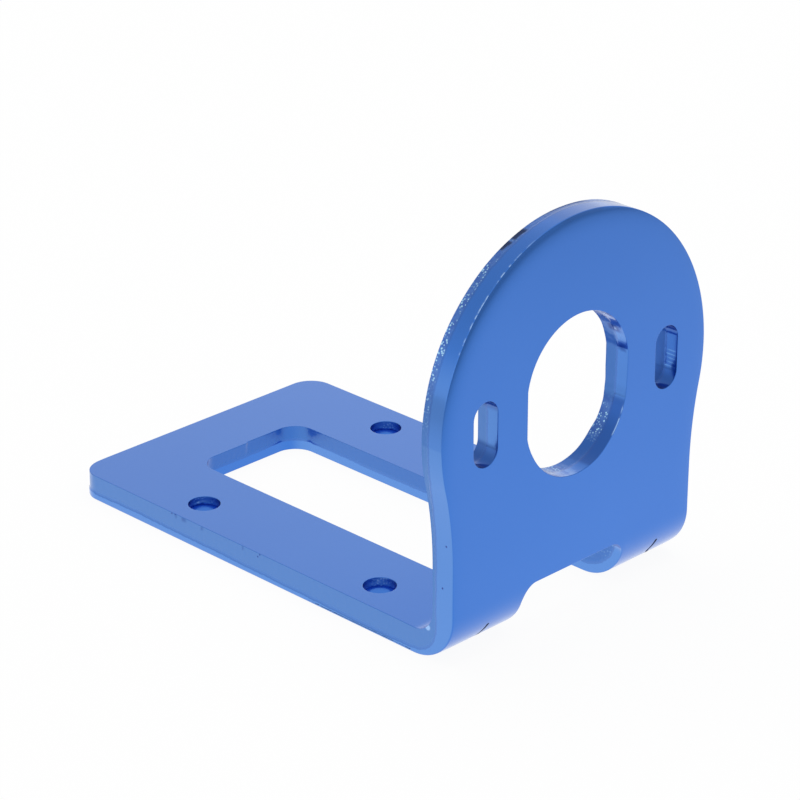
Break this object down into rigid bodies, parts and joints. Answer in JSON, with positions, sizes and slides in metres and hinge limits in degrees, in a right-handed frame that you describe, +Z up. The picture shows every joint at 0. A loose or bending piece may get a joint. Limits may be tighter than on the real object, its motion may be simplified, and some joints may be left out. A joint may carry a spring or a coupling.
{
  "type": "motor mounting bracket",
  "caption": "L-shaped bracket folded from thick painted sheet: round upright head with a motor opening and screw slots, and a flat base with screw holes and a long window.",
  "frame": {"origin": "centre of the four base screw holes, on the base's underside", "axes": "+Z up from the base, +X out of the upright's outer face, along the motor's shaft, +Y across the bracket"},
  "size_m": [0.054, 0.0362, 0.0409],
  "materials": {
    "blue_coat": "satin blue coat on punched steel sheet"
  },
  "bodies": {
    "root": {"bracket": "blue_coat"}
  },
  "joints": []
}
